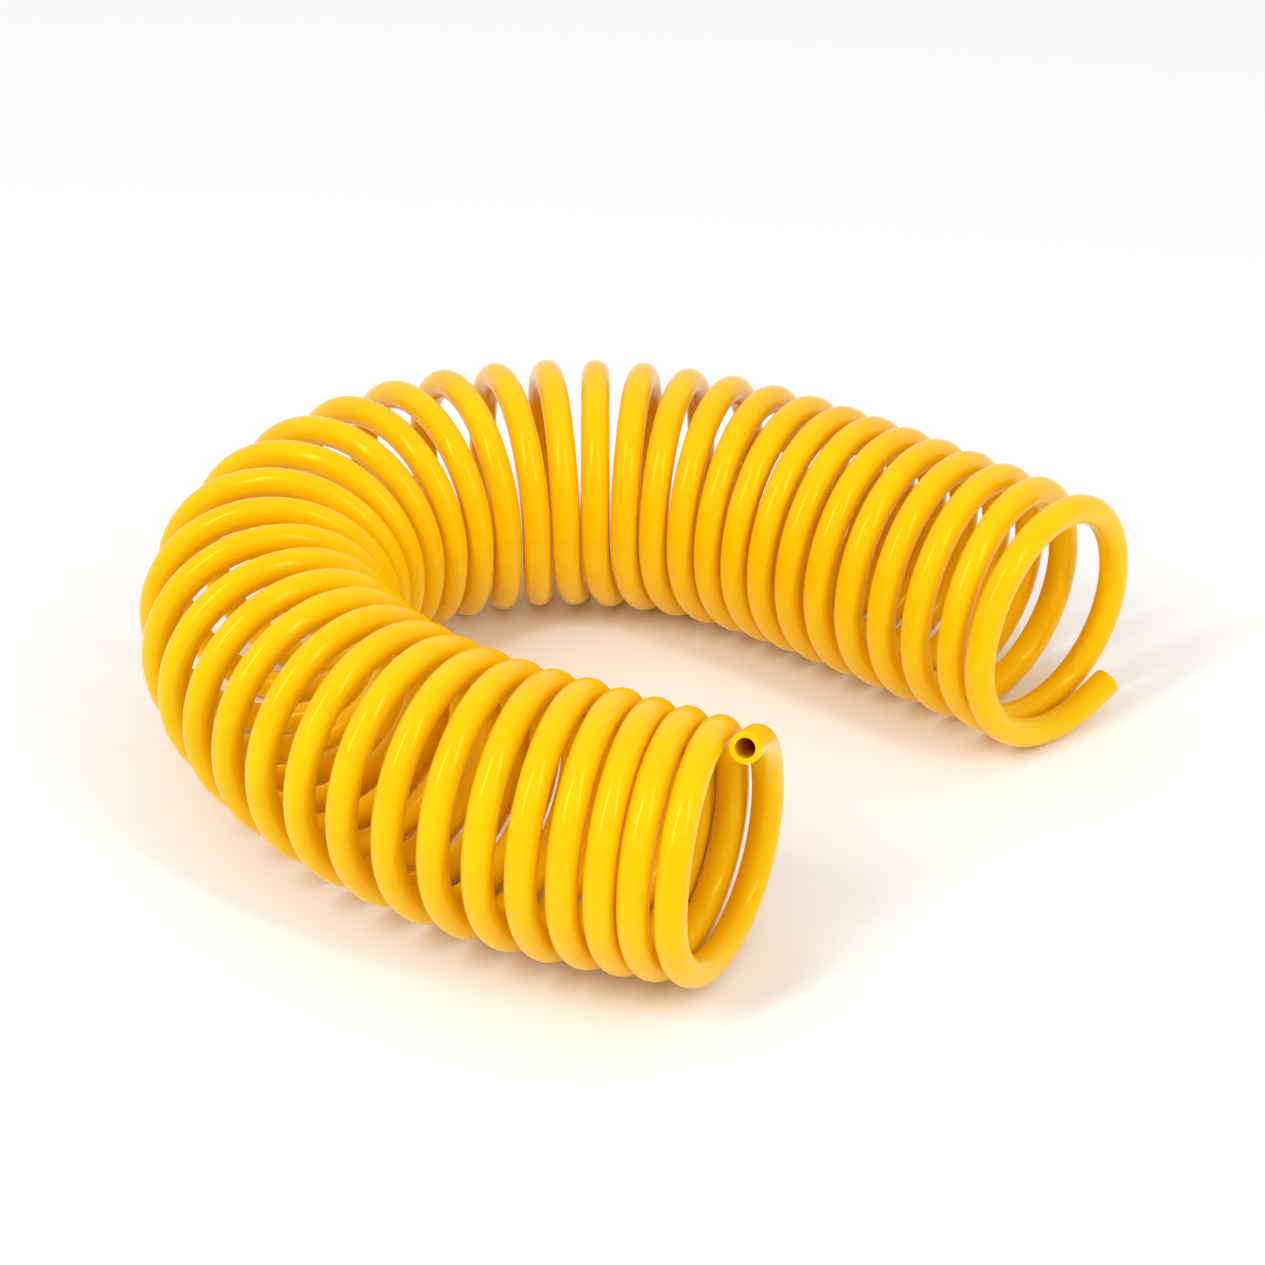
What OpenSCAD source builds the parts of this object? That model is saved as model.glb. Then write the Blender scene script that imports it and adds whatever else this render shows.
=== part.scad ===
// Coiled air hose, 8 x 5 mm polyurethane tube, both ends bare.
// One continuous tube is wound into a close right-handed coil, and the coil lies in a horseshoe on a
// flat surface. The tube is divided where it stands upright, at the inner and the outer side of each
// turn. There the hose twists about its own centreline when the coil stretches or straightens, so each
// division is a hinge with an upright axis, and the tube stays joined at every angle.

/* [Tube] */
// Outside diameter of the tube
tube_od = 8; // [6:0.5:10]
// Bore of the tube
tube_bore = 5; // [3:0.5:5.5]

/* [Coil] */
// Radius of the coil, to the tube's centreline
coil_radius = 31.5; // [28:0.5:36]
// How much smaller the coil's radius is at its near end
near_taper = 2.5; // [0:0.5:3]
// Half turns over which the near end grows to the full radius
near_taper_halves = 10; // [4:1:14]
// Direction in which the coil leaves its near end, from +X towards +Y
near_heading = 192; // [180:2:210]

/* [Ends] */
// Arc of the near end, before the first whole turn
near_end_arc = 67; // [50:1:120]
// Straight length at the near end
near_stub = 10; // [8:1:14]
// Arc of the far end, after the last whole turn
far_end_arc = 111; // [90:1:125]
// Straight length of the tail at the far end
far_stub = 10; // [8:1:16]

/* [Hidden] */
$fn = 64;
hose_yellow = [0.99, 0.77, 0.02];

// Whole turns in the two arms and in the bend between them
near_turns = 10;
bend_turns = 19;
far_turns = 9;
all_turns = near_turns + bend_turns + far_turns;

// How far the coil's axis turns from one turn to the next, by turn number: [turn, degrees].
// Turn 0 is the near end, and the angle changes evenly between the rows.
FAN = [[0, 0], [2, 0], [8, 4.7], [12, 5.5], [16, 14], [20, 10.5], [24, 7.5],
       [28, 5.8], [31, 1.5], [36, 0], [37, 4.7], [38, 0]];

// Gap between neighbouring turns at the inner side of the coil, by turn number: [turn, mm]
GAP = [[0, 3], [2, 0.8], [12, 1.2], [20, 0.3], [27, 0.3], [31, 0.9], [37, 3.8], [38, 1.8]];

tube_r = tube_od / 2;
bore_r = tube_bore / 2;

// Height of the coil's axis: the full-size turns rest on the surface
axis_height = coil_radius + tube_r;

// Halves of turns are numbered along the tube. Half 0 is the near end, the lower half of turn n is 2n
// - 1, its upper half is 2n, and the last one is the far end.
last_half = 2 * all_turns + 1;

function is_upper(half) = half % 2 == 0;
function turn_of(half) = ceil(half / 2);

function half_radius(half) = coil_radius - near_taper * max(0, 1 - half / near_taper_halves);

// Angle between the two halves that meet on the outer side of a turn
function pitch_angle(turn) = 2 * asin((tube_od + lookup(turn, GAP)) / (4 * coil_radius));

// Change of direction from one half to the next, in plan
function direction_step(half) =
    is_upper(half)
        ? 180 - pitch_angle(turn_of(half)) - lookup(turn_of(half), FAN)
        : 180 + pitch_angle(turn_of(half));

// Direction of each half in plan, from where it starts to where it ends
directions = [
    for (half = 0, angle = near_heading - 90 + pitch_angle(0) / 2;
         half <= last_half;
         angle = angle + direction_step(half), half = half + 1)
        angle
];

function plan_step(half) = 2 * half_radius(half) * [cos(directions[half]), sin(directions[half])];

// Start of each half in plan, measured from the start of the near end's whole circle
raw_starts = [
    for (half = 0, point = [0, 0];
         half <= last_half;
         point = point + plan_step(half), half = half + 1)
        point
];

// The two cut ends in plan, and how far a cut face reaches from its centre along X and Y
near_tip = raw_starts[1] + end_reach(0, near_end_arc, near_stub) * [cos(directions[0]), sin(directions[0])];
far_tip = raw_starts[last_half]
    - end_reach(last_half, far_end_arc, far_stub) * [cos(directions[last_half]), sin(directions[last_half])];

function end_reach(half, arc, stub) = half_radius(half) * (cos(arc) - 1) - stub * sin(arc);
function face_reach(half, arc) =
    tube_r * [
        sqrt(1 - pow(sin(arc) * cos(directions[half]), 2)),
        sqrt(1 - pow(sin(arc) * sin(directions[half]), 2))
    ];

// What bounds the coil in plan, as [point, reach]: the places where the tube stands upright, and its
// cut ends
bounds = concat(
    [for (half = [1 : last_half]) [raw_starts[half], [tube_r, tube_r]]],
    [[near_tip, face_reach(0, near_end_arc)], [far_tip, face_reach(last_half, far_end_arc)]]
);
centre = [
    for (axis = [0, 1])
        (min([for (place = bounds) place[0][axis] - place[1][axis]])
         + max([for (place = bounds) place[0][axis] + place[1][axis]])) / 2
];

function two_digits(n) = n < 10 ? str("0", n) : str(n);
function half_name(arm, turn, level) = str(arm, "_turn_", two_digits(turn), "_", level);

near_names = [
    for (turn = [1 : near_turns], level = ["lower", "upper"])
        half_name("near", turn, level)
];
bend_names = [for (turn = [1 : bend_turns]) str("bend_turn_", two_digits(turn))];
far_names = [
    for (turn = [1 : far_turns], level = ["lower", "upper"])
        half_name("far", turn, level)
];

// Moves its children to where one half starts, on the coil's axis height
module at_start_of(half) {
    start = raw_starts[half] - centre;
    translate([start[0], start[1], axis_height])
        children();
}

// Stands its children up in the plane of one half. Their centre is the half's own centre, and the
// half's end (at_end) or its start is at the origin.
module upright_plane(half, at_end) {
    rotate([0, 0, directions[half]])
        translate([at_end ? -half_radius(half) : half_radius(half), 0, 0])
            rotate([90, 0, 0])
                children();
}

// Half a ring of tube about the origin
module half_ring(radius) {
    difference() {
        rotate_extrude(angle = 180)
            translate([radius, 0])
                circle(r = tube_r);
        rotate_extrude(angle = 180)
            translate([radius, 0])
                circle(r = bore_r);
    }
}

// Half of a turn of tube, from its start at the origin
module half_turn(half) {
    color(hose_yellow)
        upright_plane(half, at_end = false)
            rotate([0, 0, is_upper(half) ? 0 : 180])
                half_ring(half_radius(half));
}

// A whole turn of tube, from the inner side of the coil under and over to the inner side again. The
// outer side is at the origin, and the turn's two halves open from there by the pitch angle.
module whole_turn(turn) {
    upper = 2 * turn;
    opening = pitch_angle(turn) / 2;
    color(hose_yellow)
        rotate([0, 0, directions[upper] - opening])
            union() {
                half_from_outer_side(opening, upper, 90);
                mirror([0, 1, 0])
                    half_from_outer_side(opening, upper, -90);
            }
}

// One half of a whole turn, turned away from the turn's middle plane
module half_from_outer_side(opening, half, stand) {
    rotate([0, 0, opening])
        translate([half_radius(half), 0, 0])
            rotate([stand, 0, 0])
                half_ring(half_radius(half));
}

// A round bar with a straight length, and an arc that runs back from it
module straight_and_arc(radius, bar_r, length, angle) {
    translate([radius, 0, 0])
        rotate([-90, 0, 0])
            cylinder(r = bar_r, h = length);
    rotate_extrude(angle = -angle)
        translate([radius, 0])
            circle(r = bar_r);
}

// A cut end of the tube: an arc that starts at the angle given, and the straight length that follows it
module cut_end(half, from, angle, length, at_end) {
    radius = half_radius(half);
    color(hose_yellow)
        upright_plane(half, at_end)
            rotate([0, 0, from + angle])
                difference() {
                    straight_and_arc(radius, tube_r, length, angle);
                    straight_and_arc(radius, bore_r, length, angle);
                }
}

// The near end comes over the top of the coil and down to its inner side
module near_end() {
    at_start_of(1)
        cut_end(0, 0, near_end_arc, near_stub, true);
}

// The far end goes from the inner side under the coil, and its tail runs out beside the last turn
module far_end() {
    at_start_of(last_half)
        cut_end(last_half, 180, far_end_arc, far_stub, false);
}

// The halves of one arm's turns, each drawn when its own node is asked for
module arm_halves(names, first_half) {
    for (i = [0 : len(names) - 1])
        at_start_of(first_half + i)
                half_turn(first_half + i);
}

near_end();
arm_halves(near_names, 1);
for (i = [0 : bend_turns - 1])
    at_start_of(2 * (near_turns + 1 + i))
            whole_turn(near_turns + 1 + i);
arm_halves(far_names, 2 * (near_turns + bend_turns) + 1);
far_end();
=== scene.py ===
"""Coiled air hose: the hose's looks, the camera, the light and the surface it lies on."""

import math
from collections import namedtuple

import bpy
import numpy as np
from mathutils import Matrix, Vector


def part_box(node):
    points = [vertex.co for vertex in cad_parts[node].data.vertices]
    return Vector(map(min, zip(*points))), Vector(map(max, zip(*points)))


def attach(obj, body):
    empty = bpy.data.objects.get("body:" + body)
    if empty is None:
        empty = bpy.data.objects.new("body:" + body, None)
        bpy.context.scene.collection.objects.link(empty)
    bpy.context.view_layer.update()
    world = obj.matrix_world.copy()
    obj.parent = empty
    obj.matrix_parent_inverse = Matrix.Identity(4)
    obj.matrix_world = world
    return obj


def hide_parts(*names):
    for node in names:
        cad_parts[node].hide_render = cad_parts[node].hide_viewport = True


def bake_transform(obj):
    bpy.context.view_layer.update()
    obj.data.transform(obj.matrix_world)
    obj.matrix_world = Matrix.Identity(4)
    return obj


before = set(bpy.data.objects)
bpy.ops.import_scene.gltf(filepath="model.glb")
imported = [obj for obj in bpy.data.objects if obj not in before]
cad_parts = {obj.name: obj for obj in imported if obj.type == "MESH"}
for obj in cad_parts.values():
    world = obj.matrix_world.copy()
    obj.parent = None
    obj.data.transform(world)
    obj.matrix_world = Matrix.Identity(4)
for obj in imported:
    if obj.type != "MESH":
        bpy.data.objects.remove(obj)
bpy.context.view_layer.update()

# ----------------------------------------------------------------------------------------------------
# The hose's route, in metres and degrees. The dimensions are the CAD's.

TUBE_R = 0.004
BORE_R = 0.0025
COIL_RADIUS = 0.0315
NEAR_TAPER = 0.0025
NEAR_TAPER_HALVES = 10
NEAR_HEADING = 192
NEAR_END_ARC = 67
NEAR_STUB = 0.010
FAR_END_ARC = 111
FAR_STUB = 0.010

NEAR_TURNS = 10
BEND_TURNS = 19
FAR_TURNS = 9

# Halves of turns are numbered along the hose. Half 0 is the near end, the lower half of turn n is
# 2n - 1, its upper half is 2n, and the last one is the far end.
LAST_HALF = 2 * (NEAR_TURNS + BEND_TURNS + FAR_TURNS) + 1

# How far the coil's axis turns from one turn to the next, by turn number: (turn, degrees)
FAN = [(0, 0), (2, 0), (8, 4.7), (12, 5.5), (16, 14), (20, 10.5), (24, 7.5),
       (28, 5.8), (31, 1.5), (36, 0), (37, 4.7), (38, 0)]

# Gap between neighbouring turns at the coil's inner side, by turn number: (turn, metres)
GAP = [(0, 0.003), (2, 0.0008), (12, 0.0012), (20, 0.0003), (27, 0.0003), (31, 0.0009),
       (37, 0.0038), (38, 0.0018)]

STEPS_PER_HALF = 30
STEPS_PER_STUB = 2

UP = Vector((0, 0, 1))


def lookup(turn, table):
    """A table's value at a turn. The value changes evenly between the rows."""
    turns, values = zip(*table)
    return np.interp(turn, turns, values)


def is_upper(half):
    return half % 2 == 0


def turn_of(half):
    return math.ceil(half / 2)


def half_radius(half):
    return COIL_RADIUS - NEAR_TAPER * max(0, 1 - half / NEAR_TAPER_HALVES)


def pitch_angle(turn):
    """Angle in plan between the two halves that meet on the outer side of a turn."""
    return 2 * math.degrees(math.asin((2 * TUBE_R + lookup(turn, GAP)) / (4 * COIL_RADIUS)))


def direction_step(half):
    """Change of direction in plan from one half to the next."""
    turn = turn_of(half)
    if is_upper(half):
        return 180 - pitch_angle(turn) - lookup(turn, FAN)
    return 180 + pitch_angle(turn)


def plan_of_halves():
    """Each half's direction in plan and where it starts, from the near end to the far end."""
    angle = NEAR_HEADING - 90 + pitch_angle(0) / 2
    start = Vector((0, 0, COIL_RADIUS + TUBE_R))
    directions = []
    starts = []
    for half in range(LAST_HALF + 1):
        direction = Vector((math.cos(math.radians(angle)), math.sin(math.radians(angle)), 0))
        directions.append(direction)
        starts.append(start)
        start = start + 2 * half_radius(half) * direction
        angle += direction_step(half)
    shift = shift_into_frame(starts)
    return directions, [point + shift for point in starts]


def shift_into_frame(starts):
    """From the plan's own origin to the frame's: the first half turn's box is midway between its ends."""
    low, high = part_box("near_turn_01_lower")
    shift = (low + high) / 2 - (starts[1] + starts[2]) / 2
    shift.z = 0
    return shift


def half_stations(half, direction, start, first, last):
    """Points and tangents on one half, between two angles from its start."""
    radius = half_radius(half)
    rise = UP if is_upper(half) else -UP
    steps = round(STEPS_PER_HALF * (last - first) / 180)
    stations = []
    for step in range(steps + 1):
        angle = math.radians(first + (last - first) * step / steps)
        point = start + radius * ((1 - math.cos(angle)) * direction + math.sin(angle) * rise)
        tangent = math.sin(angle) * direction + math.cos(angle) * rise
        stations.append((point, tangent))
    return stations


def straight_end(station, length):
    """Points and tangents along the straight length past one end of the arcs."""
    point, tangent = station
    parts = [length * (step + 1) / STEPS_PER_STUB for step in range(STEPS_PER_STUB)]
    return [(point + part * tangent, tangent) for part in parts]


def hose_route():
    """The whole hose's points and tangents, and the indices where its halves start and the last one ends."""
    directions, starts = plan_of_halves()
    arcs = {half: (0, 180) for half in range(LAST_HALF + 1)}
    arcs[0] = (180 - NEAR_END_ARC, 180)
    arcs[LAST_HALF] = (0, FAR_END_ARC)
    stations = []
    joins = []
    for half, (first, last) in arcs.items():
        arc = half_stations(half, directions[half], starts[half], first, last)
        if half > 0:
            joins.append(len(stations) - 1 + STEPS_PER_STUB)
            arc = arc[1:]
        stations += arc
    near_straight = straight_end(stations[0], -NEAR_STUB)[::-1]
    far_straight = straight_end(stations[-1], FAR_STUB)
    stations = near_straight + stations + far_straight
    points, tangents = zip(*stations)
    return points, tangents, [0] + joins + [len(stations) - 1]


def carried_across(tangents):
    """A direction across the tube at each station, which turns with the tube and doesn't spin round it."""
    across = [tangents[0].orthogonal().normalized()]
    for before, after in zip(tangents, tangents[1:]):
        across.append(before.rotation_difference(after) @ across[-1])
    return across


def distances_along(points):
    """How far along the hose each station is, from the near cut."""
    steps = [(after - before).length for before, after in zip(points, points[1:])]
    return np.concatenate([[0], np.cumsum(steps)])


POINTS, TANGENTS, FIRST_OF_HALF = hose_route()
ACROSS = carried_across(TANGENTS)
ALONG = distances_along(POINTS)

# ----------------------------------------------------------------------------------------------------
# Camera, in millimetres for the lens and the sensor, and metres and degrees for its place

CAMERA_SENSOR = 36
CAMERA_LENS = 95.99
CAMERA_CLIP_START = 0.01
CAMERA_AZIMUTH = 31.985
CAMERA_ELEVATION = 31.538
CAMERA_DISTANCE = 0.91607
CAMERA_TARGET = Vector((0.00901, 0.01228, 0.030))


def add_facing(thing, target, distance, azimuth, elevation):
    """Adds a camera or a light that faces its target from a distance. Azimuth 0 is towards -Y."""
    bpy.context.scene.collection.objects.link(thing)
    turn = math.radians(azimuth)
    rise = math.radians(elevation)
    back = Vector((
        math.cos(rise) * math.sin(turn),
        -math.cos(rise) * math.cos(turn),
        math.sin(rise),
    ))
    thing.location = target + distance * back
    thing.rotation_euler = (-back).to_track_quat("-Z", "Y").to_euler()


def add_camera():
    data = bpy.data.cameras.new("camera")
    data.sensor_width = CAMERA_SENSOR
    data.lens = CAMERA_LENS
    data.clip_start = CAMERA_CLIP_START
    camera = bpy.data.objects.new("camera", data)
    add_facing(camera, CAMERA_TARGET, CAMERA_DISTANCE, CAMERA_AZIMUTH, CAMERA_ELEVATION)
    bpy.context.scene.camera = camera


add_camera()

# ----------------------------------------------------------------------------------------------------
# Materials

DEEP_YELLOW = (0.97, 0.515, 0.001, 1)
PALE_YELLOW = (0.985, 0.575, 0.002, 1)
HIGHLIGHT_YELLOW = (1.0, 0.78, 0.15, 1)
PALE_GREY = (0.95, 0.95, 0.95, 1)
WHITE = (1, 1, 1, 1)

# How far light of each colour spreads inside the hose's wall: a share each, and the whole in metres
SPREAD_SHARES = (1.0, 0.6, 0.05)
SPREAD = 0.003

# Detail per metre: clouds are a few centimetres across, and marks about a millimetre
CLOUDS_PER_METRE = 38.0
MARKS_PER_METRE = 900.0

# Draw lines, by how often they change along a metre of the hose and once round it
LINES_PER_METRE = 0.6
LINES_ROUND = 46.0
LINE_HEIGHT = 0.0001
LINE_STRENGTH = 0.08

# Roughness of the hose where it is cleanest and where it is most marked
CLEAN_ROUGHNESS = 0.16
MARKED_ROUGHNESS = 0.26
SURFACE_ROUGHNESS = 0.7


def node_maker(material):
    """Clears a material's nodes. Returns a function that adds a node, and one that links two sockets."""
    material.use_nodes = True
    tree = material.node_tree
    tree.nodes.clear()

    def add(kind, **inputs):
        node = tree.nodes.new(kind)
        for name, value in inputs.items():
            node.inputs[name].default_value = value
        return node

    return add, tree.links.new


def colour_ramp(add, low, high):
    """A ramp between two stops, each of them (place, colour)."""
    ramp = add("ShaderNodeValToRGB")
    for element, (place, colour) in zip(ramp.color_ramp.elements, (low, high)):
        element.position = place
        element.color = colour
    return ramp


def hose_material():
    """Glossy extruded polyurethane: even yellow, faint clouding, and fine draw lines along the tube."""
    material = bpy.data.materials.new("hose_polyurethane")
    add, link = node_maker(material)
    output = add("ShaderNodeOutputMaterial")
    shader = add("ShaderNodeBsdfPrincipled", **{
        "IOR": 1.45,
        "Specular Tint": HIGHLIGHT_YELLOW,
        "Specular IOR Level": 0.5,
        "Subsurface Weight": 0.25,
        "Subsurface Radius": SPREAD_SHARES,
        "Subsurface Scale": SPREAD,
    })
    link(shader.outputs["BSDF"], output.inputs["Surface"])
    place = add("ShaderNodeTexCoord")
    cloud_the_colour(add, link, place, shader)
    mark_the_gloss(add, link, place, shader)
    draw_the_lines(add, link, place, shader)
    return material


def cloud_the_colour(add, link, place, shader):
    clouds = add("ShaderNodeTexNoise", Scale=CLOUDS_PER_METRE, Detail=3.0, Roughness=0.55)
    link(place.outputs["Object"], clouds.inputs["Vector"])
    colour = colour_ramp(add, low=(0.3, DEEP_YELLOW), high=(0.7, PALE_YELLOW))
    link(clouds.outputs["Fac"], colour.inputs["Fac"])
    link(colour.outputs["Color"], shader.inputs["Base Color"])


def mark_the_gloss(add, link, place, shader):
    marks = add("ShaderNodeTexNoise", Scale=MARKS_PER_METRE, Detail=5.0, Roughness=0.65)
    link(place.outputs["Object"], marks.inputs["Vector"])
    gloss = add("ShaderNodeMapRange", **{
        "From Min": 0.3,
        "From Max": 0.75,
        "To Min": CLEAN_ROUGHNESS,
        "To Max": MARKED_ROUGHNESS,
    })
    link(marks.outputs["Fac"], gloss.inputs["Value"])
    link(gloss.outputs["Result"], shader.inputs["Roughness"])


def draw_the_lines(add, link, place, shader):
    """The map's first direction runs along the tube in metres, and its second one goes once round it."""
    stretch = add("ShaderNodeMapping", Scale=(LINES_PER_METRE, LINES_ROUND, 1.0))
    link(place.outputs["UV"], stretch.inputs["Vector"])
    lines = add("ShaderNodeTexNoise", Scale=1.0, Detail=4.0, Roughness=0.6)
    link(stretch.outputs["Vector"], lines.inputs["Vector"])
    drawn = add("ShaderNodeBump", Strength=LINE_STRENGTH, Distance=LINE_HEIGHT)
    link(lines.outputs["Fac"], drawn.inputs["Height"])
    link(drawn.outputs["Normal"], shader.inputs["Normal"])


def surface_material():
    material = bpy.data.materials.new("pale_surface")
    add, link = node_maker(material)
    output = add("ShaderNodeOutputMaterial")
    shader = add("ShaderNodeBsdfPrincipled", **{
        "Base Color": PALE_GREY,
        "Roughness": SURFACE_ROUGHNESS,
    })
    link(shader.outputs["BSDF"], output.inputs["Surface"])
    return material


HOSE = hose_material()

# ----------------------------------------------------------------------------------------------------
# The hose's pieces

# Faces round the tube
SIDES = 32

# The cut ends have their sharp edges broken by this radius
EDGE_RADIUS = 0.00025
EDGE_STEPS = 3

# A ring of vertices round the tube. Facing says how much the surface faces out of the tube and how
# much along it.
Ring = namedtuple("Ring", "centre across tangent along radius facing")


def wall_rings(first, last, radius, out):
    """Rings of the outer wall (out is 1) or of the bore (out is -1), between two stations."""
    return [
        Ring(POINTS[i], ACROSS[i], TANGENTS[i], ALONG[i], radius, (out, 0))
        for i in range(first, last + 1)
    ]


def cut_rings(index, outward):
    """Rings over a cut end, from the outer wall to the bore, with both edges rounded."""
    across = ACROSS[index]
    tangent = TANGENTS[index]
    outer = []
    inner = []
    for step in range(EDGE_STEPS + 1):
        angle = math.pi / 2 * step / EDGE_STEPS
        drop = EDGE_RADIUS * (1 - math.cos(angle))
        back = EDGE_RADIUS * (1 - math.sin(angle))
        centre = POINTS[index] - outward * back * tangent
        along = ALONG[index] - outward * back
        out = math.cos(angle)
        lean = outward * math.sin(angle)
        outer.append(Ring(centre, across, tangent, along, TUBE_R - drop, (out, lean)))
        inner.append(Ring(centre, across, tangent, along, BORE_R + drop, (-out, lean)))
    return outer + inner[::-1]


def tube_rings(first, last):
    """All rings of a hollow piece, over the outer wall, one end, back along the bore, and the other end."""
    wall = wall_rings(first, last, TUBE_R, 1)
    bore = wall_rings(first, last, BORE_R, -1)[::-1]
    if last == len(POINTS) - 1:
        return wall[:-1] + cut_rings(last, 1) + bore[1:]
    if first == 0:
        return wall[1:] + bore[:-1] + cut_rings(first, -1)[::-1]
    return wall + bore


def ring_vertices(rings):
    """The vertices on all rings, and their normals."""
    angles = [2 * math.pi * side / SIDES for side in range(SIDES)]
    vertices = []
    normals = []
    for ring in rings:
        sideways = ring.tangent.cross(ring.across)
        out, lean = ring.facing
        for angle in angles:
            radial = math.cos(angle) * ring.across + math.sin(angle) * sideways
            vertices.append(ring.centre + ring.radius * radial)
            normals.append((out * radial + lean * ring.tangent).normalized())
    return vertices, normals


def ring_faces(rings):
    """Faces from each ring to the next one and from the last ring to the first, and their corners' map."""
    faces = []
    corners = []
    for index, ring in enumerate(rings):
        next_index = (index + 1) % len(rings)
        here = ring.along
        there = rings[next_index].along
        for side in range(SIDES):
            beside = (side + 1) % SIDES
            faces.append((
                index * SIDES + side,
                index * SIDES + beside,
                next_index * SIDES + beside,
                next_index * SIDES + side,
            ))
            low = side / SIDES
            high = (side + 1) / SIDES
            corners += [(here, low), (here, high), (there, high), (there, low)]
    return faces, corners


def tube_piece(name, rings):
    """A closed hollow tube over rings that follow each other and end where they start."""
    vertices, normals = ring_vertices(rings)
    faces, corners = ring_faces(rings)
    mesh = bpy.data.meshes.new(name)
    mesh.from_pydata(vertices, [], faces)
    layer = mesh.uv_layers.new(name="along_and_round")
    layer.data.foreach_set("uv", np.array(corners, np.float32).ravel())
    mesh.polygons.foreach_set("use_smooth", [True] * len(mesh.polygons))
    mesh.materials.append(HOSE)
    mesh.normals_split_custom_set_from_vertices(normals)
    piece = bpy.data.objects.new(name, mesh)
    bpy.context.scene.collection.objects.link(piece)
    return piece


def node_of(half):
    """The CAD node, and body, that holds one half."""
    if half == 0:
        return "near_end"
    if half == LAST_HALF:
        return "far_end"
    turn = turn_of(half)
    level = "upper" if is_upper(half) else "lower"
    if turn <= NEAR_TURNS:
        return f"near_turn_{turn:02d}_{level}"
    if turn <= NEAR_TURNS + BEND_TURNS:
        return f"bend_turn_{turn - NEAR_TURNS:02d}"
    return f"far_turn_{turn - NEAR_TURNS - BEND_TURNS:02d}_{level}"


def add_stretch(name, first_half, last_half):
    """One stretch of hose over one or two halves. A stretch within one body is attached to that body; one
    across two bodies is left in place, attached to neither.
    """
    first = FIRST_OF_HALF[first_half]
    last = FIRST_OF_HALF[last_half + 1]
    rings = tube_rings(first, last)
    piece = tube_piece(name, rings)
    before = node_of(first_half)
    after = node_of(last_half)
    if before == after:
        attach(piece, before)
    else:
        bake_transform(piece)
    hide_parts(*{before, after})


def add_hose():
    """The arms are in stretches that twist between two halves, and the bend is in whole turns."""
    bend_first = 2 * NEAR_TURNS + 1
    far_first = bend_first + 2 * BEND_TURNS
    for i in range(NEAR_TURNS):
        add_stretch(f"near_arm_{i + 1:02d}", 2 * i, 2 * i + 1)
    add_stretch("near_arm_last", bend_first - 1, bend_first - 1)
    for i in range(BEND_TURNS):
        add_stretch(f"bend_{i + 1:02d}", bend_first + 2 * i, bend_first + 2 * i + 1)
    for i in range(FAR_TURNS):
        add_stretch(f"far_arm_{i + 1:02d}", far_first + 2 * i, far_first + 2 * i + 1)
    add_stretch("far_arm_end", LAST_HALF, LAST_HALF)


add_hose()

# ----------------------------------------------------------------------------------------------------
# Surface and light, in metres, degrees and watts

SURFACE_SIZE = 30.0
LIT_CENTRE = Vector((0, 0, 0.03))
LIGHT_DISTANCE = 1.3
WORLD_STRENGTH = 0.82


def add_surface():
    half = SURFACE_SIZE / 2
    corners = [(-half, -half, 0), (half, -half, 0), (half, half, 0), (-half, half, 0)]
    mesh = bpy.data.meshes.new("surface")
    mesh.from_pydata(corners, [], [(0, 1, 2, 3)])
    mesh.materials.append(surface_material())
    surface = bpy.data.objects.new("surface", mesh)
    bpy.context.scene.collection.objects.link(surface)


def add_softbox(name, azimuth, elevation, width, height, power):
    """A rectangular white light that faces the coil."""
    data = bpy.data.lights.new(name, "AREA")
    data.shape = "RECTANGLE"
    data.size = width
    data.size_y = height
    data.energy = power
    light = bpy.data.objects.new(name, data)
    add_facing(light, LIT_CENTRE, LIGHT_DISTANCE, azimuth, elevation)


def add_world():
    world = bpy.data.worlds.new("studio")
    world.use_nodes = True
    background = world.node_tree.nodes["Background"]
    background.inputs["Color"].default_value = WHITE
    background.inputs["Strength"].default_value = WORLD_STRENGTH
    bpy.context.scene.world = world


add_surface()
add_softbox("key", azimuth=-15, elevation=48, width=0.12, height=0.7, power=5.5)
add_softbox("fill", azimuth=80, elevation=40, width=0.1, height=0.7, power=3.5)
add_world()
bpy.context.scene.view_settings.view_transform = "Standard"
